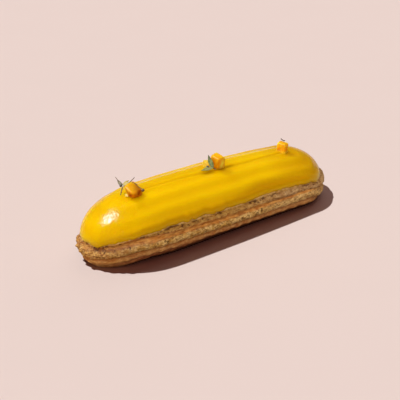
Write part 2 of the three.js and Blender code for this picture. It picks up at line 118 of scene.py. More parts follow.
# Colour of the glaze: dome levels, and angles and half breadths round the plan in degrees
NEAR_FILM = {"angle": -108, "breadth": 22, "levels": (1, 1.1)}
FAR_FILM = {"angle": 40, "breadth": 18, "start": (0, 20), "levels": (1.04, 1.24)}
# levels of the glaze's lowest rows, painted darker: partly thin glaze over the crust, partly painted shade
LOW_LEVELS = (1, 1.07)
GLAZE_FAR_HALF = (-8, 18)  # places along X between which the far half begins
# painted shade in the glaze's colour: the lower front, the far end, the near shoulder and the crest
FRONT_SHADE = [(0.74, 0.84), (1.09, 1.14), (0.085, 0.13)]  # strength, level, breadth: near half, far half
FAR_FRONT_SHADE = 0.1
FAR_SHADE = {"strength": 0.65, "x": (18, 58)}
NEAR_SHADE = {"strength": 0.25, "x": -57, "breadth": 12, "levels": (1.2, 1.45)}
CREST_SHADE = {"strength": 0.2, "levels": (1.7, 1.95)}
# levels over which the painted shadows at the garnish's feet fade in
FOOT_LEVELS = (1.4, 1.5)

# Choux
RIDGES = [  # height, how far it stands out, half breadth
    (13.2, 0.4, 1.4), (10.5, -0.9, 1.1), (7.7, 0.5, 1.6), (5.4, -0.8, 0.7), (3.9, 0.5, 0.8),
]
RIDGE_LOSS = 0.3
RIDGE_RUN = [  # place along X, and how much higher than their own heights the ridges run there
    (-48, 1.1), (-35, -0.1), (-20, -1.0), (4, -1.9), (22, -1.8), (41, -1.6),
]
RIDGE_DROP = 2.6  # the ridges run lower by this round the near tip
FAR_DROP = 3  # and by this round the far tip
FAR_DROP_TURN = 0.7  # sideways share of a station's direction where that drop is full
RIDGE_WANDER = 0.25
FLOOR_FADE = 1.6
CRAG = 0.3
NEAR_CRAG = 0.6
CRAG_HEIGHTS = (3, 6.5)  # the near tip's crags grow over these heights
CRAG_WAVES = [  # share, then factors on X, Y and Z and a phase, for a sine and for a cosine
    (0.6, (0.92, 0, 1.1, 0.6), (0, 0.85, -0.6, 0)),
    (0.5, (0.7, 1.5, 0, -0.5), (-0.4, 0, 1.35, 1.2)),
]
TUCK = 1.4
NEAR_TUCK = 2.4
TUCK_LEVELS = (0.74, 0.93)
NEAR_TUCK_LEVELS = (0.6, 0.92)
NUBS = [  # nub and dent of the near tip: how far out, angle and half breadth in degrees, height, half breadth
    (2.5, -109, 11, 8.8, 1.1),
    (-0.3, -103, 15, 5.9, 1.7),
]
TIP_PITS = [  # holes of the near tip's crust: angle round the plan in degrees, height, radius
    (-96, 6.3, 0.8), (-82, 6.4, 0.7), (-70, 9.0, 0.8), (-85, 10.0, 0.6), (-58, 9.2, 0.6),
    (-64, 6.0, 0.6),
]
TIP_DEGREE = 0.42  # millimetres along the tip's side for a degree of its plan
LEDGE_LEVEL = 0.98

# Colour bands and fine relief of the crust
BANDS = {"lip": 3.1, "red": 4.7, "lower": 5.95, "strip": 9.6, "upper": 11.9}  # height where each begins
BAND_SOFT = 0.22
BAND_RAGGED = 0.22
FAR_CRUST = (12, 34)  # places along X between which the far half's crust begins
STRIP_RISE = 0.1  # the strip begins higher by this on the far half, and the upper band lower
UPPER_FALL = 1.2
STRIP_FADE = (0.05, 0.45)  # sideways shares of a station's direction over which the strip fades
BORDERS = {"upper": 0.4, "strip": 0.3, "share": 0.7, "breaks": (-0.35, 0.35)}  # red lines between bands
CRUST_NOISE = {  # how far it is drawn out lengthwise, if at all, size of its lumps, seed, octaves
    "wander": (1, 14, 11, 1),
    "ragged": (3, 2, 13, 2),
    "border": (4, 4, 17, 1),
    "crumb": (2.2, 0.8, 25, 3),
    "fleck": (2.2, 0.5, 27, 2),
    "patch": (None, 7, 33, 1),
    "pit": (1.8, 0.8, 31, 2),
    "streak": (9, 0.8, 41, 1),
    "hair": (7, 0.45, 43, 1),
    "lump": (None, 3.2, 51, 3),
    "small lump": (None, 1.4, 57, 2),
}
FLECK_RANGE = (0.1, 0.5)
PIT_RANGE = (0.7, 0.95)
STREAK_RANGE = (0.74, 0.98)
STREAK_LOSS, STREAK_GAIN = 0.7, 0.8  # on rough crust, and at the near tip
HAIR_SHARE = 0.4
SMALL_LUMPS = 0.7
BELT = {"below": 0.9, "breadth": 0.9, "share": 0.6, "far_loss": 0.5, "pits": 0.75}  # pits by the glaze
PATCH_PITS = 0.2
CRAG_ROUGH = 0.8
RELIEF = {"crumb": 0.09, "fleck": 0.1, "pit": 0.3, "streak": 0.16, "tip": 0.14, "lump": 0.05, "crag": 0.25}
RELIEF_HEIGHTS = (1.5, 4)
# heights over which the painted contact shadow fades out
CONTACT_HEIGHTS = (0.3, 1.6)
TIP_HEIGHTS = (1, 4)
TIP_GRAIN = {"angle": -108, "breadth": 30, "heights": (2, 6)}
# painted shade on the crust at the near end's front shoulder
SHOULDER = {"angle": -40, "breadth": 24, "heights": (3, 6)}
BELOW_EDGE_BREADTH = 1.6
STRIP_LOSS = 0.8
RED = {"borders": 0.8, "streak": 0.75, "tip": 0.25}
# less darkening under the bun and less painted contact shadow at the near tip
NEAR_LOSS = {"under": 0.3, "contact_shadow": 0.6}
LEAST_FLECK, LEAST_ROUGH = 0.2, 0.25  # on smooth crust
TIP_FLECK = 0.2
FAR_RUN = (0, 40)  # places along X over which the crust grows paler

# Mesh divisions
CHOUX_STEP = 0.34
BAND_ROWS = 76
HIDDEN_LEVELS = (1.06, 1.25, 1.45, 1.65, 1.85, 2)
GLAZE_STEP = 0.6
GLAZE_ROWS = 60
INNER_LEVELS = (1.05, 1.2, 1.4, 1.6, 1.8, 2)
MERGE = 0.001
SLIVER = 0.0005

# Candied fruit: place in the plan, size along, across and up, turn, flare of the foot, sharp edges
FRUITS = {
    "fruit_near": SimpleNamespace(x=-43.3, y=-3.85, size=(7.4, 6.4, 5.6), turn=18, flare=0.1, sharp=6),
    "fruit_middle": SimpleNamespace(x=4.6, y=-2.4, size=(5.8, 5.4, 6.3), turn=12, flare=0, sharp=9),
    "fruit_far": SimpleNamespace(x=45.8, y=-1.9, size=(4.8, 3.9, 4.65), turn=-66, flare=0.2, sharp=9),
}
BEVELS = {  # direction and distance of each
    "fruit_near": [
        ((0.25, -0.34, 0.9), 1.8),
        ((-0.5, -0.5, -0.7), 3.2),
        ((-0.65, 0.55, -0.35), 2.96),
        ((0.7, -0.7, 0), 4.0),
    ],
    "fruit_middle": [
        ((0.75, -0.1, 0.65), 3.2),
        ((-0.7, 0.7, 0.2), 4.1),
        ((-0.45, -0.45, -0.77), 3.4),
    ],
    "fruit_far": [
        ((0, -0.6, 0.8), 2.9),
        ((0.8, 0.2, 0.55), 3.4),
    ],
}
FRUIT_LOOKS = {  # painted glow of the lit side, brightness, yellow of top and far side (partly painted light), painted shadow on the glaze
    "fruit_near": {"painted_glow": 0, "tone": 0, "gold": 0.8, "cheek": 0.7, "shade": 0.2},
    "fruit_middle": {"painted_glow": 1, "tone": 0.7, "gold": 0.6, "cheek": 0, "shade": 1},
    "fruit_far": {"painted_glow": 0.1, "tone": 1, "gold": 0.4, "cheek": 0, "shade": 0.8},
}
FLARE_TOP = 0.3
FRUIT_SINK = 1.0
FRUIT_FOOT = 0.6  # how much further down a block reaches than its solid
FRUIT_STEPS = 28
FRUIT_WRINKLE = 0.12
FRUIT_SEED = 81
FLESH_SIZE = 2.4
FLESH_APART = 40  # how far from one block's noise the next one's lies
PAINTED_GLOW_ACROSS = (0.15, 0.5)  # middle and half breadth of the painted glow, as shares of a block
PAINTED_GLOW_UP = (0.42, 0.32)
FRONT_RANGE = (0.3, 0.9)
GOLD_RANGE = (0.55, 0.9)
CHEEK_RANGE = (0.35, 0.8)
FOOT_SHIFT = (0.9, -0.7)  # where a block's soft painted shadow lies on the glaze, and how soft it is
FOOT_SOFT = 1.3
SHADES = [  # soft painted shadow of the garnish: place in the plan, half lengths along and across, strength
    (-2.4, -4.6, 3.6, 0.9, 1.0),
    (9.6, -4.2, 3.4, 0.9, 0.8),
]

# Herbs
LEAF_ROWS = 36
LEAF_COLUMNS = 17
LEAF_THICK = 0.3
LEAF_FOOT = 0.16
LEAF_BELLY = (0.85, 0.8)  # powers for where a blade is widest and how full it is
LEAF_POINT = 0.75
LEAF_POINT_POWER = 6
LEAF_EDGE = 0.96  # share of the round section kept up to an edge
LEAF_FOLD = 0.3
LEAF_CURL = 0.04
LEAF_WAVE = 0.09
LEAF_RIB = 0.13  # half breadth of the midrib as a share of the half width
RIB_LOSS = 0.6
LEAF_VEINS = 7
VEIN_SLANT = 1.6
RIB_ABOVE, RIB_BELOW, VEIN_DEPTH = 0.05, 0.04, 0.03
STEM_SIDES = 12
STEM_ROWS = 24
BUD_RADIUS = 0.6
LEG_RADIUS = 0.3
TWIG_RADIUS = 0.25
SPIKE_RADIUS = 0.2
RIND_RADIUS = 0.15
SEED_RADIUS = 0.7
STEM_KNOT = 0.12  # unevenness of a stem's thickness
KNOT_RATE = 23
STEM_END = 0.75  # girth beside a stem's tip
OFF_STEM = (0.3, 0.2, 0.9)  # a direction that no stem follows
TWIG_BEND, TWIG_SAG = 0.45, 0.3
BUD_STEPS = 8
BUD_LUMPS = 0.15
BUD_NOISE = (0.7, 91, 2)

# View: the camera looks at a point over the bun's middle, which shows at this pixel
PICTURE = 400
VIEW_AZIMUTH = -126.2  # from +X towards +Y
VIEW_ELEVATION = 27
VIEW_TARGET = (0, 0, 15)
VIEW_DISTANCE = 420
VIEW_SCALE = 2.07  # pixels for a millimetre at the target
TARGET_PIXEL = (206.7, 191.4)
SENSOR = 36

# Light: the floor's suns light it alone, and the other lamps light all but the floor
SUNS = {  # angle from +X towards +Y, angle above the floor, strength, colour, spread in degrees
    "sun": (111, 59, 3.3, (0.97, 1, 1), 1.2),
    "side": (35, 35, 0.5, (1.0, 0.9, 0.86), 60),
    "key": (118, 52, 1.35, (0.95, 1.05, 1.04), 20),
    "fill": (-142, 20, 1.35, (1.02, 0.96, 0.9), 50),
    "dome": (0, 90, 1.88, (1.0, 0.98, 0.95), 170),
}
FLOOR_SUNS = ("sun", "side")
SUN_DISTANCE = 1000
GLINT_AZIMUTH = 163
GLINT_ELEVATION = 60
GLINT_DISTANCE = 600
GLINT_SIZE = 150
GLINT_POWER = 10
AMBIENT = (0.1, 0.042, 0.04)
MIRRORED = (0.4, 0.28, 0.07)
BACKDROP = (0.831, 0.658, 0.604)
FLOOR_SIZE = 60000
FLOOR_COLOUR = (0.782, 0.647, 0.597)

# Odd factors that scatter whole numbers
CELL_FACTORS = np.array([0x9E3779B97F4A7C15, 0xC2B2AE3D27D4EB4F, 0x165667B19E3779F9], np.uint64)
SEED_FACTOR = 0x27D4EB2F165667C5
MIX_FACTOR = np.uint64(0xBF58476D1CE4E5B9)

# Ends and spine of the bun
NEAR_CAP = NEAR_STRETCH * (HALF_WIDTH - HALF_WIDTH_GAIN)
FAR_CAP = FAR_STRETCH * (HALF_WIDTH + HALF_WIDTH_GAIN)
SPINE_HALF = (LENGTH - NEAR_CAP - FAR_CAP) / 2
SPINE_SHIFT = (NEAR_CAP - FAR_CAP) / 2


# Numbers

def mix(a, b, share):
    return a + (b - a) * share


def bell(value):
    return np.exp(-np.square(value))


def smooth(low, high, value):
    share = np.clip((value - low) / (high - low), 0, 1)
    return share * share * (3 - 2 * share)


def hashed(cells, seed):
    """A random number from 0 to 1 for each whole-numbered cell."""
    whole = cells.astype(np.int64).astype(np.uint64)
    mixed = np.bitwise_xor.reduce(whole * CELL_FACTORS, axis=-1)
    mixed ^= np.uint64(seed * SEED_FACTOR % 2**64)
    mixed ^= mixed >> np.uint64(29)
    mixed *= MIX_FACTOR
    mixed ^= mixed >> np.uint64(32)
    return (mixed >> np.uint64(11)).astype(float) / 2**53


def noise(points, size, seed):
    """Smooth noise from -1 to 1 with lumps of about the given size."""
    spots = points / size
    home = np.floor(spots)
    share = spots - home
    share = share**3 * (share * (share * 6 - 15) + 10)
    total = np.zeros(points.shape[:-1])
    for corner in itertools.product((0, 1), repeat=3):
        weight = np.prod(np.where(corner, share, 1 - share), axis=-1)
        total += weight * hashed(home + corner, seed)
    return 2 * total - 1


def fractal(points, size, seed, octaves):
    return sum(noise(points, size / 2**k, seed + k) / 2**k for k in range(octaves))


# Shape of the bun

def section_at(along):
    """Half width and height of the cross-section at a place along the spine."""
    share = along / SPINE_HALF
    return HALF_WIDTH + HALF_WIDTH_GAIN * share, HEIGHT - HEIGHT_FALL * share - HEIGHT_ARCH * share**2


def arch_at(x):
    """How much of the middle's arch there is at a place along X: 1 in the middle, 0 at the tips."""
    return np.maximum(1 - (2 * x / LENGTH) ** 2, 0)


def make_stations(step):
    """Places about step apart once round the plan: front, far end, back, near end."""
    straight = round(2 * SPINE_HALF / step)
    far = round(math.pi * FAR_CAP / step)
    near = round(math.pi * NEAR_CAP / step)
    run = mix(-SPINE_HALF, SPINE_HALF, np.arange(straight) / straight)
    plan = SimpleNamespace()
    plan.along = np.concatenate([run, np.full(far, SPINE_HALF), -run, np.full(near, -SPINE_HALF)])
    plan.angle = np.concatenate([
        np.zeros(straight),
        math.pi * np.arange(far) / far,
        np.full(straight, math.pi),
        math.pi * (1 + np.arange(near) / near),
    ])
    plan.stretch = np.repeat([1, FAR_STRETCH, 1, NEAR_STRETCH], [straight, far, straight, near])
    plan.side = np.stack([np.sin(plan.angle), -np.cos(plan.angle)])
    plan.normal = np.stack([plan.side[0], plan.side[1] * plan.stretch])
    plan.normal /= np.linalg.norm(plan.normal, axis=0)
    plan.degrees = np.degrees(np.where(plan.angle > math.pi, plan.angle - 2 * math.pi, plan.angle))
    plan.half, plan.high = section_at(plan.along)
    rim = plan.along + SPINE_SHIFT + BASE_SHARE * plan.half * plan.stretch * plan.side[0]
    hollow = NEAR_UNDERCUT["deep"] * bell((rim - NEAR_UNDERCUT["x"]) / NEAR_UNDERCUT["breadth"])
    plan.near = smooth(NEAR_TURN, 1, -plan.side[0])
    bow = BOW["deep"] * spread(plan, BOW)
    plan.base = BASE_SHARE + NEAR_BASE * plan.near - UNDERCUT * arch_at(rim) - hollow - bow
    plan.far = smooth(FAR_TURN, 1, plan.side[0])
    plan.edge = np.full(plan.along.size, float(EDGE_HEIGHT))
    for place, rise, breadth in EDGE_HUMPS:
        plan.edge = plan.edge - rise * plan.side[1] * bell((plan.along + SPINE_SHIFT - place) / breadth)
    for angle, drop, breadth in EDGE_SAGS:
        plan.edge = plan.edge - drop * bell((plan.degrees - angle) / breadth)
    return plan


def skin_at(plan, level):
    """Share of the half width, and height before the lift, from floor (0) over edge (1) to crest (2)."""
    rise = 1 - WIDEST_HEIGHT
    level = np.asarray(level, float)[:, None]
    z = plan.edge * np.clip(level, 0, 1)
    tall = z / plan.high
    drop = np.clip(1 - tall / WIDEST_HEIGHT, 0, 1)
    climb = np.clip((tall - WIDEST_HEIGHT) / rise, 0, 1)
    lower = mix(plan.base, 1, np.sqrt(1 - drop**2))
    upper = (1 - climb**DOME_POWER) ** (1 / DOME_POWER)
    start = np.arcsin(((plan.edge / plan.high - WIDEST_HEIGHT) / rise) ** (DOME_POWER / 2))
    angle = mix(start, math.pi / 2, np.clip(level - 1, 0, 1))
    dome = np.maximum(np.cos(angle), 0) ** (2 / DOME_POWER)
    top = plan.high * (WIDEST_HEIGHT + rise * np.sin(angle) ** (2 / DOME_POWER))
    share = np.where(level < 1, np.where(tall < WIDEST_HEIGHT, lower, upper), dome)
    return share, np.where(level < 1, z, top)


def points_at(plan, level, push):
    """Rows of points of the bun at levels, pushed out along the skin's normal."""
    level = np.asarray(level, float)
    share, z = skin_at(plan, level)
    share_below, z_below = skin_at(plan, level - LEVEL_STEP)
    share_above, z_above = skin_at(plan, level + LEVEL_STEP)
    out = np.stack([z_above - z_below, (share_below - share_above) * plan.half])
    out /= np.linalg.norm(out, axis=0)
    crest = (level >= 2)[:, None]
    out = np.stack([np.where(crest, 0, out[0]), np.where(crest, 1, out[1])])
    reach = plan.half * share
    x = plan.along + SPINE_SHIFT + reach * plan.stretch * plan.side[0] + push * out[0] * plan.normal[0]
    y = reach * plan.side[1] + push * out[0] * plan.normal[1]
    lift = LIFT * arch_at(x) * smooth(0, LIFT_FADE, z)
    return np.stack([x, y, z + push * out[1] + lift], axis=-1)


def lengthwise(plan, z, stretch):
    """Points for noise that is drawn out along the sides by a factor, with no seam round the bun."""
    turn = np.linspace(0, 2 * math.pi, plan.along.size, endpoint=False)
    radius = (4 * SPINE_HALF + math.pi * (NEAR_CAP + FAR_CAP)) / (2 * math.pi * stretch)
    ring = np.broadcast_to(radius * np.stack([np.cos(turn), np.sin(turn)], axis=-1), (*z.shape, 2))
    return np.concatenate([ring, z[..., None]], axis=-1)


def spread(plan, place):
    """How near each station is to the angle of a place round the plan, from 0 to 1."""
    return bell((plan.degrees - place["angle"]) / place["breadth"])


def crag_field(p):
    """Smooth uneven field over space, about -1 to 1, as in the solid."""
    def phase(factors):
        return p @ np.array(factors[:3]) + factors[3]
    return sum(share * np.sin(phase(sine)) * np.cos(phase(cosine)) for share, sine, cosine in CRAG_WAVES)


def glaze_push(plan, level):
    """How far the glaze's outer face stands out from the plain skin, as in the solid."""
    level = np.asarray(level, float)[:, None]
    ribs = RIB_DEPTH * (0.5 + 0.5 * np.cos(2 * math.pi * (level - RIB_VALLEY) / RIB_PITCH))
    ribbed = (1 - plan.near) * (1 - plan.far) * smooth(*RIB_START, level) * (1 - smooth(*RIB_END, level))
    ends = NEAR_INSET * plan.near + FAR_INSET * plan.far
    return -ribs * ribbed - ends * (1 - smooth(1, INSET_TOP, level))


def glaze_top(x, y):
    """Height of the glaze's plain outer face over a point of the plan."""
    along = np.clip(x - SPINE_SHIFT, -SPINE_HALF, SPINE_HALF)
    past = x - SPINE_SHIFT - along
    half, high = section_at(along)
    stretch = np.where(past < 0, NEAR_STRETCH, FAR_STRETCH)
    share = np.minimum(np.hypot(past / stretch, y) / half, 1)
    return high * mix(WIDEST_HEIGHT, 1, (1 - share**DOME_POWER) ** (1 / DOME_POWER)) + LIFT * arch_at(x)


def glaze_normal(x, y):
    step = 0.5
    slope_x = (glaze_top(x + step, y) - glaze_top(x - step, y)) / (2 * step)
    slope_y = (glaze_top(x, y + step) - glaze_top(x, y - step)) / (2 * step)
    normal = np.array([-slope_x, -slope_y, 1.0])
    return normal / np.linalg.norm(normal)


def over(x, y, height):
    """A point over the glaze: place in the plan and clear height above the glaze's face."""
    return np.array([x, y, glaze_top(x, y) + height])


# Pieces

def add_object(name, data):
    made = bpy.data.objects.new(name, data)
    bpy.context.collection.objects.link(made)
    return made


def add_piece(name, points, faces, material, node, masks=None):
    """A closed smooth mesh piece that stands for a node."""
    mesh = bpy.data.meshes.new(name)
    mesh.from_pydata((points.reshape(-1, 3) * MM).tolist(), [], faces.tolist())
    for mask, values in (masks or {}).items():
        layer = mesh.attributes.new(mask, "FLOAT", "POINT")
        layer.data.foreach_set("value", np.ascontiguousarray(values, dtype=np.float32).ravel())
    work = bmesh.new()
    work.from_mesh(mesh)
    bmesh.ops.remove_doubles(work, verts=work.verts, dist=MERGE * MM)
    bmesh.ops.dissolve_degenerate(work, edges=work.edges, dist=SLIVER * MM)
    bmesh.ops.recalc_face_normals(work, faces=work.faces)
    work.to_mesh(mesh)
    work.free()
    mesh.shade_smooth()
    mesh.materials.append(material)
    piece = add_object(name, mesh)
    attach(piece, "root")
    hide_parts(node)


def ring_faces(rows, count):
    """Faces between rows of points that run round and close on themselves."""
    row = np.arange(rows - 1)[:, None] * count
    here = row + np.arange(count)
    beside = row + (np.arange(count) + 1) % count
    return np.stack([here, beside, beside + count, here + count], axis=-1).reshape(-1, 4)


def grid_faces(grid):
    """Faces between the numbered points of a grid."""
    corners = [grid[:-1, :-1], grid[1:, :-1], grid[1:, 1:], grid[:-1, 1:]]
    return np.stack(corners, axis=-1).reshape(-1, 4)


def slab_faces(rows, columns):
    """Faces of a closed slab whose upper grid of points is followed by its lower grid."""
    count = rows * columns
    grid = np.arange(count).reshape(rows, columns)
    upper = grid_faces(grid)
    rim = np.concatenate([grid[0, :-1], grid[:-1, -1], grid[-1, :0:-1], grid[:0:-1, 0]])
    beside = np.roll(rim, -1)
    wall = np.stack([rim, beside, beside + count, rim + count], axis=-1)
    return np.concatenate([upper, upper[:, ::-1] + count, wall])


def make_choux(material):
    plan = make_stations(CHOUX_STEP)
    base = points_at(plan, [0], 0)[0]
    x = plan.along + SPINE_SHIFT
    spine = np.stack([x, np.zeros_like(x), np.zeros_like(x)], axis=-1)
    level = np.linspace(0, TUCK_LEVELS[1], BAND_ROWS)
    push, masks = crust_relief(plan, level)
    band = points_at(plan, level, push)
    hidden = np.array([LEDGE_LEVEL, *HIDDEN_LEVELS])
    dome = points_at(plan, hidden, glaze_push(plan, np.maximum(hidden, 1)) - GLAZE_THICK - GAP)
    points = np.concatenate([[spine, mix(spine, base, 0.5)], band, dome])
    plain = np.zeros((2, plan.along.size))
    padded = {k: np.concatenate([plain, v, np.zeros(dome.shape[:2])]) for k, v in masks.items()}
    faces = ring_faces(len(points), plan.along.size)
    add_piece("choux_crust", points, faces, material, "choux", padded)


def crust_relief(plan, level):
    """How far the crust stands out from the plain skin, and the masks that its colours follow, some of them
    painted shade.
    """
    p = points_at(plan, level, 0)
    z = skin_at(plan, level)[1]
    near = plan.near
    level = level[:, None]
    drift = np.interp(p[..., 0], *zip(*RIDGE_RUN)) - RIDGE_DROP * near
    drift = drift - FAR_DROP * smooth(0, FAR_DROP_TURN, plan.side[0])

    def uneven(name):
        stretch, size, seed, octaves = CRUST_NOISE[name]
        return fractal(lengthwise(plan, z, stretch) if stretch else p, size, seed, octaves)

    ridge_height = z - drift - RIDGE_WANDER * uneven("wander")
    piped = sum(out * bell((ridge_height - height) / breadth) for height, out, breadth in RIDGES)
    ragged = ridge_height + BAND_RAGGED * uneven("ragged")

    def above(height):
        return smooth(height - BAND_SOFT, height + BAND_SOFT, ragged)

    far_half = smooth(*FAR_CRUST, p[..., 0])
    strip_start = BANDS["strip"] + STRIP_RISE * far_half
    upper_start = BANDS["upper"] - UPPER_FALL * far_half
    upper = above(upper_start)
    strip = above(strip_start) * (1 - upper)
    lower = above(BANDS["lower"]) * (1 - above(strip_start))
    red = above(BANDS["red"]) * (1 - above(BANDS["lower"]))
    lip = above(BANDS["lip"]) * (1 - above(BANDS["red"]))
    under = 1 - above(BANDS["lip"])
    upper_border = bell((ragged - upper_start) / BORDERS["upper"])
    strip_border = BORDERS["share"] * bell((ragged - strip_start) / BORDERS["strip"])
    borders = (upper_border + strip_border) * smooth(*BORDERS["breaks"], uneven("border"))
    crags = near * smooth(*CRAG_HEIGHTS, z)
    rough = np.clip(upper + lower + CRAG_ROUGH * crags, 0, 1)
    fleck = smooth(*FLECK_RANGE, uneven("fleck"))
    patch = uneven("patch")
    belt = BELT["share"] * bell((plan.edge - z - BELT["below"]) / BELT["breadth"])
    belt = belt * (1 + patch) * (1 - BELT["far_loss"] * plan.far)
    pit = uneven("pit") + BELT["pits"] * belt + PATCH_PITS * patch
    pit = smooth(*PIT_RANGE, pit) * np.clip(rough + belt, 0, 1)
    for angle, height, radius in TIP_PITS:
        pit = np.maximum(pit, bell(np.hypot((plan.degrees - angle) * TIP_DEGREE, z - height) / radius))
    streak = 1 - np.abs(uneven("streak") + HAIR_SHARE * uneven("hair"))
    streak = smooth(*STREAK_RANGE, streak) * np.clip(1 - STREAK_LOSS * rough + STREAK_GAIN * near, 0, 1)
    nubs = sum(out * bell((plan.degrees - angle) / turn) * bell((z - height) / breadth)
               for out, angle, turn, height, breadth in NUBS)
    push = piped * (1 - RIDGE_LOSS * near)
    push = push + mix(CRAG, NEAR_CRAG, crags) * crag_field(p) + nubs
    push = push - TUCK * (1 - near) * (1 - plan.far) * smooth(*TUCK_LEVELS, level)
    push = push - NEAR_TUCK * near * smooth(*NEAR_TUCK_LEVELS, level)
    lumps = uneven("lump") + SMALL_LUMPS * uneven("small lump")
    fine = rough * (RELIEF["crumb"] * uneven("crumb") - RELIEF["fleck"] * fleck) - RELIEF["pit"] * pit
    fine = fine - (RELIEF["streak"] + RELIEF["tip"] * near) * streak
    fine = fine + (RELIEF["lump"] + RELIEF["crag"] * crags) * lumps
    push = push + fine * smooth(*RELIEF_HEIGHTS, z)
    masks = {
        "upper": upper,
        "strip": strip * (1 - STRIP_LOSS * smooth(*STRIP_FADE, plan.side[0])),
        "red": np.clip(red + RED["borders"] * borders + (RED["streak"] + RED["tip"] * near) * streak, 0, 1),
        "lip": lip,
        # the underside painted darker: partly a darker baked base, partly painted shade
        "under": under * (1 - NEAR_LOSS["under"] * near),
        "pit": pit,
        "fleck": fleck * mix(LEAST_FLECK, 1, rough) * (1 + TIP_FLECK * near),
        "rough": mix(LEAST_ROUGH, 1, rough),
        # painted contact shadow where the crust meets the floor
        "contact_shadow": (1 - NEAR_LOSS["contact_shadow"] * near) * (1 - smooth(*CONTACT_HEIGHTS, z)),
        "tip": near * smooth(*TIP_HEIGHTS, z),
        "grain": spread(plan, TIP_GRAIN) * smooth(*TIP_GRAIN["heights"], z),
        # darker crust in a band just below the glaze's edge
        "below_edge": bell((plan.edge - z) / BELOW_EDGE_BREADTH),
        # painted shade at the near end's front shoulder
        "shoulder": spread(plan, SHOULDER) * smooth(*SHOULDER["heights"], z),
        "run": smooth(*FAR_RUN, p[..., 0]),
    }
    return push * smooth(0, FLOOR_FADE, z), masks


def make_glaze(material):
    plan = make_stations(GLAZE_STEP)
    ring = lengthwise(plan, np.zeros((1, plan.along.size)), 1)
    uneven = sum(amount * fractal(ring, size, seed, octaves)[0] for amount, size, seed, octaves in EDGE_NOISE)
    plan.edge = np.maximum(plan.edge + uneven, (WIDEST_HEIGHT + EDGE_CLEAR) * plan.high)
    outer_levels = np.linspace(LIP[0][0], 2, GLAZE_ROWS)[1:]
    lip_levels = np.array([level for level, _ in LIP])
    levels = np.concatenate([INNER_LEVELS[::-1], lip_levels[::-1], outer_levels])
    depth = np.concatenate([
        np.full(len(INNER_LEVELS), GLAZE_THICK),
        GLAZE_THICK * np.array([share for _, share in LIP[::-1]]),
        np.zeros(len(outer_levels)),
    ])[:, None]
    plain = points_at(plan, levels, 0)
    masks = glaze_masks(plan, levels[:, None], plain)
    swell = GLAZE_SWELL * fractal(plain, *SWELL_NOISE) * smooth(*SWELL_LEVELS, levels[:, None])
    outside = np.where(depth < OUTER_DEPTH, 1, 0)
    push = glaze_push(plan, levels) - depth + outside * (swell - CREASE_DEPTH * masks["crease"])
    points = points_at(plan, levels, push)
    faces = ring_faces(len(points), plan.along.size)
    add_piece("glaze_skin", points, faces, material, "glaze", masks)


def glaze_masks(plan, level, plain):
    """The masks that the glaze's colours follow, several of them painted shade and painted shadow."""
    x, y = plain[..., 0], plain[..., 1]
    front = -plan.side[1].clip(-1, 0)
    # the crease is also painted darker, a painted shade along it
    creased = smooth(*CREASE_START, x) * (1 - smooth(*CREASE_END, x)) * smooth(*CREASE_LEVELS, level)
    crease = creased * bell((y - np.interp(x, CREASE_X, CREASE_Y)) / CREASE_BREADTH)
    far_film = spread(plan, FAR_FILM) * smooth(*FAR_FILM["start"], plan.degrees)
    far_film = far_film * (1 - smooth(*FAR_FILM["levels"], level))
    film = spread(plan, NEAR_FILM) * (1 - smooth(*NEAR_FILM["levels"], level)) + far_film
    rib = 0.5 + 0.5 * np.cos(2 * math.pi * (level - RIB_VALLEY) / RIB_PITCH)
    far_half = smooth(*GLAZE_FAR_HALF, x)
    strength, middle, breadth = (mix(*ends, far_half) for ends in FRONT_SHADE)
    shoulder = bell((x - NEAR_SHADE["x"]) / NEAR_SHADE["breadth"]) * smooth(*NEAR_SHADE["levels"], level)
    # painted shade: the lower front, the far end, the near shoulder, the far front and the crest
    shades = [
        strength * bell((level - middle) / breadth) * front,
        FAR_SHADE["strength"] * smooth(*FAR_SHADE["x"], x),
        NEAR_SHADE["strength"] * shoulder,
        FAR_FRONT_SHADE * far_half * front,
        CREST_SHADE["strength"] * smooth(*CREST_SHADE["levels"], level) * np.ones_like(x),
    ]
    # painted shadows of the fruit and sprigs on the glaze
    painted_shadows = [np.zeros_like(x)]
    for name, fruit in FRUITS.items():
        away = np.hypot(x - fruit.x - FOOT_SHIFT[0], y - fruit.y - FOOT_SHIFT[1])
        radius = (fruit.size[0] + fruit.size[1]) / 4
        painted_shadows.append(FRUIT_LOOKS[name]["shade"] * (1 - smooth(radius - FOOT_SOFT, radius + FOOT_SOFT, away)))
    for place_x, place_y, along, across, share in SHADES:
        painted_shadows.append(share * bell((x - place_x) / along) * bell((y - place_y) / across))
    return {
        "thin": film,
        "crease": crease,
        # painted darker at the lowest rows: partly thin glaze over the brown crust, partly painted shade
        "low": (1 - film) * (1 - smooth(*LOW_LEVELS, level)),
        # painted shade in the hollows between the ribs
        "valley": rib * np.ones_like(x),
        "shade": np.max(shades, axis=0),
        # painted shadows at the garnish's feet
        "foot": np.max(painted_shadows, axis=0) * smooth(*FOOT_LEVELS, level),
        "ripple": bell((x - RIPPLED[0]) / RIPPLED[1]),
    }


def cube_sphere(steps):
    """Unit directions over a cube's six faces, and the faces between them."""
    line = np.tan(np.linspace(-math.pi / 4, math.pi / 4, steps + 1))
    u, v = np.meshgrid(line, line, indexing="ij")
    points, faces = [], []
    for axis, sign in itertools.product(range(3), (-1, 1)):
        side = np.empty((steps + 1, steps + 1, 3))
        side[..., axis] = sign
        side[..., (axis + 1) % 3] = u
        side[..., (axis + 2) % 3] = v
        grid = np.arange((steps + 1) ** 2).reshape(steps + 1, -1) + len(points) * (steps + 1) ** 2
        points.append(side.reshape(-1, 3))
        faces.append(grid_faces(grid))
    points = np.concatenate(points)
    return points / np.linalg.norm(points, axis=1, keepdims=True), np.concatenate(faces)


def turned(degrees):
    """Rotation matrix about Z."""
    c, d = math.cos(math.radians(degrees)), math.sin(math.radians(degrees))
    return np.array([[c, -d, 0], [d, c, 0], [0, 0, 1]])


def upright(normal):
    """Rotation matrix that takes the vertical to a normal the short way."""
    return np.array(Vector((0, 0, 1)).rotation_difference(Vector(normal)).to_matrix())


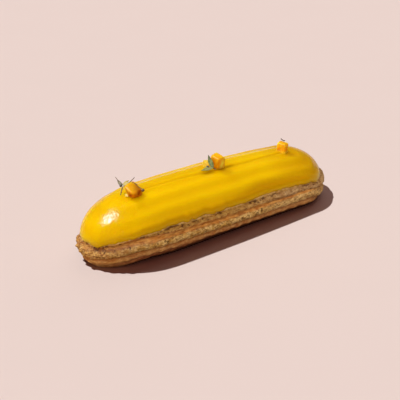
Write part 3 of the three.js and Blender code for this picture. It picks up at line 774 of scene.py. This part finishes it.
def make_fruit(name, material, seed):
    """A soft-edged block of fruit: six walls and some bevels, blended into one another."""
    fruit = FRUITS[name]
    half = np.array(fruit.size) / 2
    directions, faces = cube_sphere(FRUIT_STEPS)
    walls = np.concatenate([np.eye(3), -np.eye(3), [bevel for bevel, _ in BEVELS[name]]])
    walls /= np.linalg.norm(walls, axis=1, keepdims=True)
    away = np.array([*half, *half, *(distance for _, distance in BEVELS[name])])
    reach = np.maximum(directions @ walls.T / away, 0) ** fruit.sharp
    p = directions * np.sum(reach, axis=1, keepdims=True) ** (-1 / fruit.sharp)
    upper = p[:, 2] / fruit.size[2] + 0.5
    front = smooth(*FRONT_RANGE, -p[:, 1] / half[1])
    # painted glow: the lower front of the block painted paler, as if lit through
    painted_glow = front * bell((p[:, 0] / half[0] - PAINTED_GLOW_ACROSS[0]) / PAINTED_GLOW_ACROSS[1])
    painted_glow = painted_glow * bell((upper - PAINTED_GLOW_UP[0]) / PAINTED_GLOW_UP[1])
    p[:, 2] -= FRUIT_FOOT * (1 - upper)
    p[:, :2] *= (1 + fruit.flare * (1 - smooth(0, FLARE_TOP, upper)))[:, None]
    flesh = fractal(p + FLESH_APART * seed, FLESH_SIZE, seed, 3)
    p += directions * (FRUIT_WRINKLE * flesh)[:, None]
    looks = FRUIT_LOOKS[name]
    # the far side's yellow, like the top's, is partly the fruit's own tone and partly painted light
    cheek = looks["cheek"] * smooth(*CHEEK_RANGE, p[:, 0] / half[0])
    masks = {
        "upper": looks["gold"] * np.maximum(smooth(*GOLD_RANGE, upper), cheek),
        "flesh": 0.5 + 0.5 * flesh,
        "painted_glow": looks["painted_glow"] * painted_glow,
        "tone": np.full_like(upper, looks["tone"]),
    }
    spin = upright(glaze_normal(fruit.x, fruit.y)) @ turned(fruit.turn)
    p = p @ spin.T + (fruit.x, fruit.y, 0)
    p[:, 2] += np.max(glaze_top(p[:, 0], p[:, 1]) - p[:, 2]) - FRUIT_SINK
    add_piece(name + "_flesh", p, faces, material, name, masks)


def make_leaf(name, material, node, root, tip, face, width):
    """A thin wavy blade from its root to its tip, with a midrib and side veins."""
    length = np.linalg.norm(tip - root)
    forward = (tip - root) / length
    across = np.cross(face, forward)
    across /= np.linalg.norm(across)
    up = np.cross(forward, across)
    t = np.linspace(0, 1, LEAF_ROWS)[:, None]
    w = np.linspace(-1, 1, LEAF_COLUMNS)[None, :]
    belly = np.sin(math.pi * t ** LEAF_BELLY[0]).clip(0) ** LEAF_BELLY[1]
    half = width / 2 * mix(LEAF_FOOT, 1, belly) * (1 - LEAF_POINT * t**LEAF_POINT_POWER)
    lift = LEAF_FOLD * half * np.abs(w) + LEAF_CURL * length * 4 * t * (1 - t)
    lift = lift + LEAF_WAVE * np.sin(2 * math.pi * t + 2 * w)
    rib = bell(w / LEAF_RIB) * (1 - RIB_LOSS * t)
    vein = 0.5 + 0.5 * np.cos(2 * math.pi * (LEAF_VEINS * t - VEIN_SLANT * np.abs(w)))
    thick = LEAF_THICK / 2 * np.sqrt(1 - (LEAF_EDGE * w) ** 2) * np.ones_like(t)
    middle = root + forward * (length * t)[..., None] + across * (half * w)[..., None]
    top = middle + up * (lift + thick - RIB_ABOVE * rib - VEIN_DEPTH * vein)[..., None]
    bottom = middle + up * (lift - thick - RIB_BELOW * rib)[..., None]
    grid = np.ones_like(lift)
    masks = {"rib": np.concatenate([rib * grid, rib * grid]), "tip": np.concatenate([t * grid, t * grid])}
    points = np.concatenate([top, bottom])
    add_piece(name, points, slab_faces(LEAF_ROWS, LEAF_COLUMNS), material, node, masks)


def curve_through(path, rows):
    """Points along a smooth curve through the points of a path."""
    path = np.array(path)
    knots = np.concatenate([[2 * path[0] - path[1]], path, [2 * path[-1] - path[-2]]])
    place = np.linspace(0, len(path) - 1, rows)
    start = np.minimum(place.astype(int), len(path) - 2)
    t = (place - start)[:, None]
    a, b, c, d = (knots[start + k] for k in range(4))
    return 0.5 * (2 * b + (c - a) * t + (2 * a - 5 * b + 4 * c - d) * t**2 + (3 * b - a - 3 * c + d) * t**3)


def make_stem(name, material, node, path, radius, taper=0.6):
    """A round rod along a smooth curve, thinner towards its end, with rounded tips."""
    line = curve_through(path, STEM_ROWS)
    ahead = np.gradient(line, axis=0)
    ahead /= np.linalg.norm(ahead, axis=1, keepdims=True)
    first = np.cross(ahead, OFF_STEM)
    first /= np.linalg.norm(first, axis=1, keepdims=True)
    second = np.cross(ahead, first)
    t = np.linspace(0, 1, STEM_ROWS)
    girth = radius * mix(1, taper, t) * (1 + STEM_KNOT * np.sin(KNOT_RATE * t))
    girth[[0, -1]] = 0
    girth[[1, -2]] *= STEM_END
    turn = np.linspace(0, 2 * math.pi, STEM_SIDES, endpoint=False)
    round_part = np.cos(turn)[:, None] * first[:, None] + np.sin(turn)[:, None] * second[:, None]
    points = line[:, None] + girth[:, None, None] * round_part
    add_piece(name, points, ring_faces(STEM_ROWS, STEM_SIDES), material, node)


def make_bud(name, material, node, centre, radius):
    directions, faces = cube_sphere(BUD_STEPS)
    p = directions * (radius * (1 + BUD_LUMPS * fractal(directions, *BUD_NOISE)))[:, None]
    add_piece(name, centre + p, faces, material, node)


# Materials

def colour(code):
    """Linear colour from a six-digit screen colour."""
    parts = np.array([code >> 16, code >> 8 & 255, code & 255]) / 255
    linear = np.where(parts > 0.04045, ((parts + 0.055) / 1.055) ** 2.4, parts / 12.92)
    return (*linear.tolist(), 1.0)


class Paint:
    """A material being built from nodes."""

    def __init__(self, name):
        self.material = bpy.data.materials.new(name)
        self.material.use_nodes = True
        self.tree = self.material.node_tree
        self.shader = self.tree.nodes["Principled BSDF"]

    def node(self, kind, inputs=None, **settings):
        made = self.tree.nodes.new("ShaderNode" + kind)
        for key, value in settings.items():
            setattr(made, key, value)
        for key, value in (inputs or {}).items():
            self.put(made.inputs[key], value)
        return made

    def put(self, socket, value):
        if isinstance(value, bpy.types.NodeSocket):
            self.tree.links.new(value, socket)
        else:
            socket.default_value = value

    def set(self, **inputs):
        for key, value in inputs.items():
            self.put(self.shader.inputs[key.replace("_", " ").title().replace("Ior", "IOR")], value)

    def mask(self, name):
        return self.node("Attribute", attribute_name=name).outputs["Fac"]

    def noise(self, size, detail, squash=(1, 1, 1)):
        """Noise with lumps of about the given size in millimetres."""
        place = self.node("TexCoord").outputs["Object"]
        scaled = self.node("Mapping", {"Vector": place, "Scale": squash})
        inputs = {"Vector": scaled.outputs[0], "Scale": 1 / (size * MM), "Detail": detail}
        return self.node("TexNoise", inputs).outputs["Fac"]

    def ramp(self, value, low, high):
        made = self.node("MapRange", {0: value, 1: low, 2: high})
        made.interpolation_type = "SMOOTHSTEP"
        return made.outputs[0]

    def times(self, a, b):
        return self.node("Math", {0: a, 1: b}, operation="MULTIPLY").outputs[0]

    def blend(self, share, a, b):
        made = self.node("Mix", data_type="RGBA")
        self.put(made.inputs[0], share)
        self.put(made.inputs[6], a)
        self.put(made.inputs[7], b)
        return made.outputs[2]

    def between(self, share, first, second):
        """A blend of two screen colours."""
        return self.blend(share, colour(first), colour(second))

    def tint(self, base, *layers):
        """The base with screen colours laid over it: the mask, share and colour of each."""
        for mask, share, code in layers:
            base = self.blend(self.times(self.mask(mask), share), base, colour(code))
        return base

    def bump(self, height, distance, strength):
        made = self.node("Bump", {"Height": height, "Distance": distance * MM, "Strength": strength})
        self.put(self.shader.inputs["Normal"], made.outputs[0])


def choux_material():
    paint = Paint("choux crust")
    mottle = paint.ramp(paint.noise(2.2, 5), 0.35, 0.65)
    fine = paint.noise(0.7, 3, (0.6, 1, 1))
    base = paint.between(mottle, 0xC29040, 0xE6BE74)
    base = paint.blend(paint.times(paint.ramp(fine, 0.45, 0.7), 0.4), base, colour(0xB09050))
    base = paint.tint(base, ("run", 0.4, 0xE6C080))
    upper = paint.between(mottle, 0xAE7E38, 0xC4984E)
    upper = paint.blend(paint.mask("run"), upper, paint.between(mottle, 0xBC925A, 0xD2AE78))
    base = paint.blend(paint.mask("upper"), base, upper)
    strip = paint.times(paint.mask("strip"), 0.85)
    base = paint.blend(strip, base, paint.between(mottle, 0xCE8438, 0xE0A04E))
    base = paint.blend(paint.mask("lip"), base, paint.between(mottle, 0xA9723E, 0xC69153))
    # a darker band just below the glaze's edge
    base = paint.tint(base, ("tip", 0.55, 0xC88C3A), ("below_edge", 0.5, 0x8A5C10))
    # shoulder: painted shade at the near end's front
    base = paint.tint(base, ("red", 0.7, 0x94481A), ("shoulder", 0.35, 0x7A4A20))
    # underside darker: partly a darker baked base, partly painted shade
    base = paint.blend(paint.mask("under"), base, paint.between(mottle, 0x7E4625, 0xA36438))
    base = paint.tint(base, ("fleck", 0.45, 0x7A4616))
    speck = paint.times(paint.ramp(fine, 0.54, 0.62), paint.mask("rough"))
    base = paint.blend(paint.times(speck, 0.5), base, colour(0x744216))
    # painted shade: the pits painted dark
    base = paint.tint(base, ("pit", 0.8, 0x4A2A12))
    grain = paint.noise(0.9, 3)
    pale_grain = paint.times(paint.ramp(grain, 0.5, 0.62), paint.mask("grain"))
    base = paint.blend(paint.times(pale_grain, 0.45), base, colour(0xF0C888))
    dark_grain = paint.times(paint.ramp(grain, 0.42, 0.34), paint.mask("grain"))
    base = paint.blend(paint.times(dark_grain, 0.6), base, colour(0x6A3A10))
    # painted contact shadow, near black, along the floor
    base = paint.tint(base, ("contact_shadow", 1, 0x1E0C08))
    paint.set(base_color=base, roughness=0.72, specular_ior_level=0.12)
    paint.bump(paint.noise(0.6, 4, (0.6, 1, 1)), 0.3, 0.9)
    return paint.material


def glaze_material():
    paint = Paint("yellow glaze")
    drift = paint.ramp(paint.noise(22, 2, (0.4, 1, 1)), 0.35, 0.65)
    base = paint.between(drift, 0xF0C000, 0xF6CA00)
    # painted shade: valley, shade and crease; below, low is partly thin glaze over the crust and partly
    # painted shade, and foot is painted shadow
    base = paint.tint(base, ("valley", 0.3, 0xE2A600), ("shade", 1, 0xBC8200), ("crease", 0.35, 0xC98A00))
    base = paint.tint(base, ("low", 0.25, 0xBE8600), ("foot", 0.75, 0x8E5600), ("thin", 0.7, 0xDCC878))
    patchy = paint.ramp(paint.noise(1.2, 3), 0.42, 0.58)
    roughness = paint.node("MapRange", {0: patchy, 3: 0.05, 4: 0.2}).outputs[0]
    paint.set(base_color=base, roughness=roughness, ior=1.2)
    paint.set(subsurface_weight=0.35, subsurface_radius=(1.0, 0.5, 0.05), subsurface_scale=1.2 * MM)
    ripples = paint.times(paint.noise(0.75, 1), paint.mask("ripple"))
    height = paint.node("Math", {0: paint.noise(1.1, 2), 1: ripples}, operation="ADD").outputs[0]
    paint.bump(height, 0.15, 0.9)
    return paint.material


def fruit_material():
    paint = Paint("candied fruit")
    flesh = paint.ramp(paint.mask("flesh"), 0.25, 0.75)
    dark = paint.between(paint.mask("tone"), 0xA04600, 0xEEA208)
    pale = paint.between(paint.mask("tone"), 0xD07600, 0xFFBE10)
    base = paint.blend(flesh, dark, pale)
    # painted glow on the lit lower front; upper yellows the top and far side, partly the fruit's tone and
    # partly painted light
    base = paint.tint(base, ("upper", 1, 0xF8BC0C), ("painted_glow", 0.9, 0xFFF04A))
    paint.set(base_color=base, roughness=0.38, ior=1.25)
    paint.set(subsurface_weight=0.8, subsurface_radius=(1.0, 0.6, 0.1), subsurface_scale=3 * MM)
    paint.bump(paint.noise(0.6, 3), 0.06, 0.5)
    return paint.material


def leaf_material(name, blade, pale, tip):
    paint = Paint(name)
    mottle = paint.ramp(paint.noise(0.8, 4), 0.35, 0.7)
    base = paint.blend(mottle, colour(blade), paint.between(0.5, blade, pale))
    base = paint.blend(paint.ramp(paint.mask("tip"), 0.55, 1), base, colour(tip))
    base = paint.tint(base, ("rib", 0.8, pale))
    paint.set(base_color=base, roughness=0.55, specular_ior_level=0.35)
    paint.set(subsurface_weight=0.25, subsurface_radius=(0.6, 1.0, 0.3), subsurface_scale=0.4 * MM)
    paint.bump(paint.noise(0.3, 3), 0.03, 0.6)
    return paint.material


def stem_material(name, code, light):
    paint = Paint(name)
    grain = paint.ramp(paint.noise(0.4, 4), 0.3, 0.7)
    paint.set(base_color=paint.between(grain, code, light), roughness=0.65)
    paint.bump(paint.noise(0.2, 3), 0.03, 0.7)
    return paint.material


def floor_material():
    paint = Paint("pale floor")
    grain = paint.ramp(paint.noise(40, 4), 0.3, 0.7)
    tone = (*FLOOR_COLOUR, 1)
    paint.set(base_color=paint.blend(grain, tone, tuple(0.995 * c for c in tone)), roughness=0.9)
    paint.set(specular_ior_level=0.0)
    return paint.material


# Garnish

def make_near_sprig(stem, bud):
    hub = over(-45.3, 1.9, 2.6)
    pale = leaf_material("grey leaf", 0x8C8A72, 0xC4C2B0, 0x6E6A5A)
    lime = leaf_material("lime leaf", 0xB4A030, 0xD8C86A, 0xA08A34)
    cream = leaf_material("cream petal", 0xE8BC30, 0xF6DC70, 0xF2D050)
    heart = stem_material("pale heart", 0xB0AE98, 0xD6D4C4)
    peel = stem_material("dark peel", 0x6A4A08, 0x9A7A18)
    seed = stem_material("brown seed", 0x4A2C08, 0x6E4A14)
    node, slot = "sprig_near", "herb"
    make_leaf("sprig_near_leaf_pale", pale, node, hub, over(-46.8, 4, 6.3), (-0.7, -0.6, 0.4), 1.6)
    make_leaf("sprig_near_leaf_lime", lime, node, hub, over(-42.2, 1.6, 4.3), (-0.4, -0.5, 0.8), 1.8)
    root, tip = over(-46.4, -1.6, 0.5), over(-46.1, -4.1, 0.7)
    make_leaf("sprig_near_petal", cream, node, root, tip, (-0.5, -0.5, 0.7), 1.2)
    spike = [over(-46.4, 3.2, 5.2), over(-46.8, 4.1, 6.4), over(-47.2, 5, 7.7)]
    make_stem("sprig_near_spike", stem, node, spike, SPIKE_RADIUS)
    rind = [over(-43.3, -2, 5.7), over(-42.1, -3.5, 5), over(-41.3, -4.7, 4)]
    rind += [over(-40.3, -6, 3.3), over(-40, -6.6, 2.7)]
    make_stem("sprig_near_rind", peel, node, rind, RIND_RADIUS, 1)
    make_bud("sprig_near_seed", seed, node, over(-40, -6.5, 2.8), SEED_RADIUS)
    leg = [hub + (0.3, 0.3, 0.2), over(-46.9, 0.5, 1.8), over(-48.3, -0.8, 0.7)]
    make_stem("sprig_near_leg", stem, node, leg, LEG_RADIUS)
    twig = [over(-43, 2, 2.6), over(-41, 2.2, 3.1), over(-38.9, 1.8, 4.6)]
    make_stem("sprig_near_twig", stem, node, twig, TWIG_RADIUS)
    make_bud("sprig_near_bud", bud, node, over(-46.2, 2, 3.4), BUD_RADIUS)
    make_bud("sprig_near_heart", heart, node, over(-45.4, 1.6, 2.9), BUD_RADIUS)


def make_middle_sprig(stem, bud):
    root = over(0.8, -4, 1)
    green = leaf_material("green leaf", 0x6E8248, 0xB0B488, 0x4E4A34)
    lime = leaf_material("young leaf", 0x92964A, 0xC8C488, 0x7A7A3A)
    node, slot = "sprig_middle", "herb"
    make_leaf("sprig_middle_leaf_green", green, node, root, over(0, -1.3, 6.4), (-0.8, -0.5, 0.3), 2.3)
    make_leaf("sprig_middle_leaf_young", lime, node, root, over(-6, -3.6, 0.8), (-0.2, -0.5, 0.8), 1.9)
    heel = [over(1.6, -5.1, 0.5), over(1.1, -4.5, 0.7), over(0.5, -3.8, 1.1)]
    make_stem("sprig_middle_heel", stem, node, heel, LEG_RADIUS)
    make_bud("sprig_middle_bud", bud, node, over(-1.9, -3.2, 1.6), BUD_RADIUS)


def make_petal():
    petal = leaf_material("yellow petal", 0xF8CC08, 0xFFE870, 0xF4CC10)
    root, tip = over(0.6, -1, 0.4), over(-1.2, 1, 3.1)
    make_leaf("petal_middle_blade", petal, "petal_middle", root, tip, (-0.5, -0.8, 0.2), 4.2)


def make_far_twig(stem):
    low, high = (np.array(corner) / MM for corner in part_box("twig_far"))
    front = np.array([high[0] - TWIG_RADIUS, low[1] + TWIG_RADIUS, low[2] + TWIG_RADIUS])
    back = np.array([low[0] + TWIG_RADIUS, high[1] - TWIG_RADIUS, high[2] - TWIG_RADIUS])
    bend = mix(front, back, TWIG_BEND) - (0, 0, TWIG_SAG)
    make_stem("twig_far_rod", stem, "twig_far", [front, bend, back], TWIG_RADIUS, 0.9)


# Stage

def direction(azimuth, elevation):
    """Unit vector at an angle from +X towards +Y and an angle above the floor."""
    a, e = math.radians(azimuth), math.radians(elevation)
    return Vector((math.cos(e) * math.cos(a), math.cos(e) * math.sin(a), math.sin(e)))


def stand(name, data, towards, place):
    """A lamp or camera at a place, looking back along a direction."""
    made = add_object(name, data)
    made.location = place * MM
    made.rotation_euler = towards.to_track_quat("Z", "Y").to_euler()
    return made


def add_light(name, kind, towards, distance, **settings):
    light = bpy.data.lights.new(name, kind)
    for key, value in settings.items():
        setattr(light, key, value)
    return stand(name, light, towards, towards * distance)


def lit(name, floor, state):
    """A group that holds the floor, so that a lamp lights it alone or leaves it out."""
    group = bpy.data.collections.new(name)
    group.objects.link(floor)
    group.collection_objects[0].light_linking.link_state = state
    return group


def make_lights(floor):
    floor_alone = lit("floor alone", floor, "INCLUDE")
    others = lit("all but the floor", floor, "EXCLUDE")
    for name, (azimuth, elevation, strength, tint, softness) in SUNS.items():
        lamp = add_light(name, "SUN", direction(azimuth, elevation), SUN_DISTANCE,
                         energy=strength, color=tint, angle=math.radians(softness))
        lamp.visible_glossy = False
        lamp.light_linking.receiver_collection = floor_alone if name in FLOOR_SUNS else others
    glint = add_light("glint", "AREA", direction(GLINT_AZIMUTH, GLINT_ELEVATION), GLINT_DISTANCE,
                      energy=GLINT_POWER, shape="DISK", size=GLINT_SIZE * MM)
    glint.visible_diffuse = False
    glint.light_linking.receiver_collection = others


def make_world():
    """Dim warm light all round, a warm tone in reflections, and a pale backdrop."""
    world = bpy.data.worlds.new("studio")
    world.use_nodes = True
    tree = world.node_tree
    rays = tree.nodes.new("ShaderNodeLightPath")

    def plain(tint, made):
        made.inputs["Color"].default_value = (*tint, 1)
        return made.outputs[0]

    def choose(ray, others, chosen):
        made = tree.nodes.new("ShaderNodeMixShader")
        for socket, value in zip(made.inputs, (rays.outputs[ray], others, chosen)):
            tree.links.new(value, socket)
        return made.outputs[0]

    around = plain(AMBIENT, tree.nodes["Background"])
    mirrored = plain(MIRRORED, tree.nodes.new("ShaderNodeBackground"))
    backdrop = plain(BACKDROP, tree.nodes.new("ShaderNodeBackground"))
    unseen = choose("Is Glossy Ray", around, mirrored)
    tree.links.new(choose("Is Camera Ray", unseen, backdrop), tree.nodes["World Output"].inputs[0])
    bpy.context.scene.world = world


def make_floor():
    mesh = bpy.data.meshes.new("floor")
    half = FLOOR_SIZE / 2 * MM
    corners = [(-half, -half, 0), (half, -half, 0), (half, half, 0), (-half, half, 0)]
    mesh.from_pydata(corners, [], [(0, 1, 2, 3)])
    mesh.materials.append(floor_material())
    floor = add_object("floor", mesh)
    floor.visible_diffuse = False
    return floor


def make_camera():
    back = direction(VIEW_AZIMUTH, VIEW_ELEVATION)
    lens = bpy.data.cameras.new("camera")
    lens.sensor_width = SENSOR
    lens.lens = VIEW_SCALE * VIEW_DISTANCE * SENSOR / PICTURE
    lens.shift_x = 0.5 - TARGET_PIXEL[0] / PICTURE
    lens.shift_y = TARGET_PIXEL[1] / PICTURE - 0.5
    lens.clip_start = 10 * MM
    lens.clip_end = FLOOR_SIZE * MM
    bpy.context.scene.camera = stand("camera", lens, back, Vector(VIEW_TARGET) + VIEW_DISTANCE * back)


make_camera()
make_world()
make_lights(make_floor())
bpy.context.scene.view_settings.view_transform = "Standard"

make_choux(choux_material())
make_glaze(glaze_material())
fruit_skin = fruit_material()
for number, fruit_name in enumerate(FRUITS):
    make_fruit(fruit_name, fruit_skin, FRUIT_SEED + number)
brown_stem = stem_material("brown stem", 0x4A3014, 0x725226)
dark_bud = stem_material("dark bud", 0x2E2A16, 0x4E4A2A)
make_near_sprig(brown_stem, dark_bud)
make_middle_sprig(brown_stem, dark_bud)
make_petal()
make_far_twig(stem_material("dark twig", 0x34200C, 0x5A3C1C))
